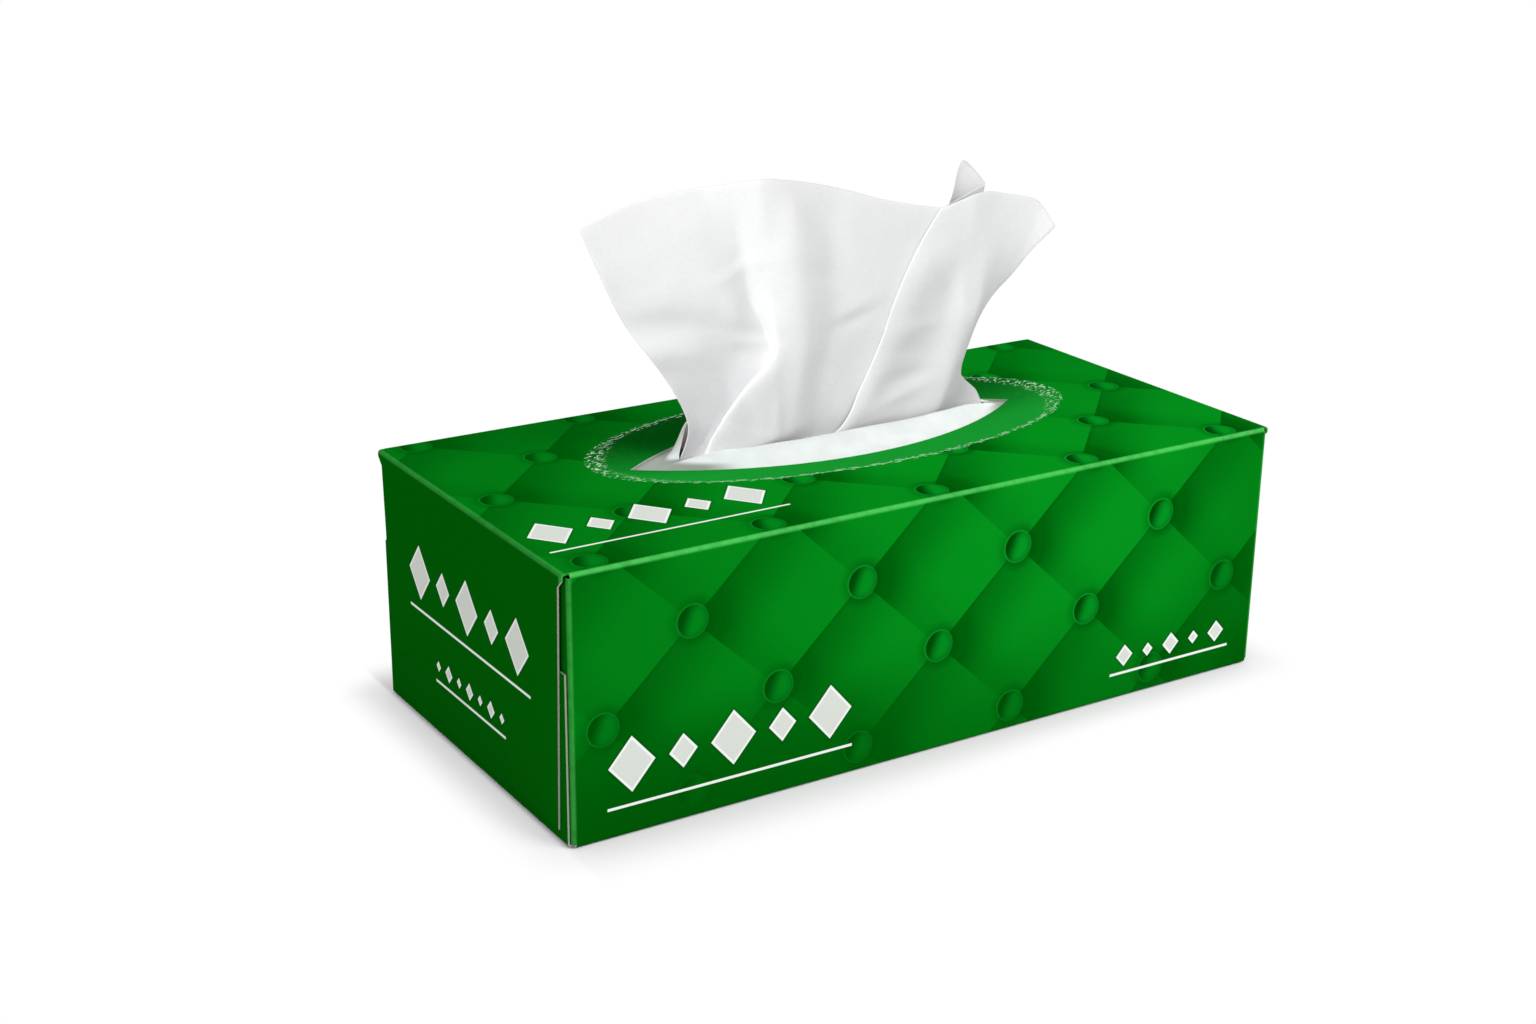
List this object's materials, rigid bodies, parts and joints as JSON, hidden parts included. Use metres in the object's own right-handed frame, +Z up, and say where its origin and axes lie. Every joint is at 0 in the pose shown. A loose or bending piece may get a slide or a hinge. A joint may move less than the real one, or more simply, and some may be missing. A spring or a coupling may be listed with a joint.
{
  "type": "tissue box",
  "caption": "Low rectangular board carton of facial tissues with an oval opening in its top, a slit film under it and one tissue standing in the slit.",
  "frame": {"origin": "centre of the carton's base, on the surface it stands on", "axes": "+Z up, +X along the long side, +Y towards the back, the pictured long side at -Y"},
  "size_m": [0.225, 0.11, 0.1466],
  "materials": {
    "printed_board": "satin printed board, pale raw edges",
    "film": "thin white translucent film",
    "tissue": "soft crepe tissue"
  },
  "bodies": {
    "root": {"carton": "printed_board", "window_film": "film", "raised_tissue": "tissue", "tissue_stack": "tissue"}
  },
  "joints": []
}
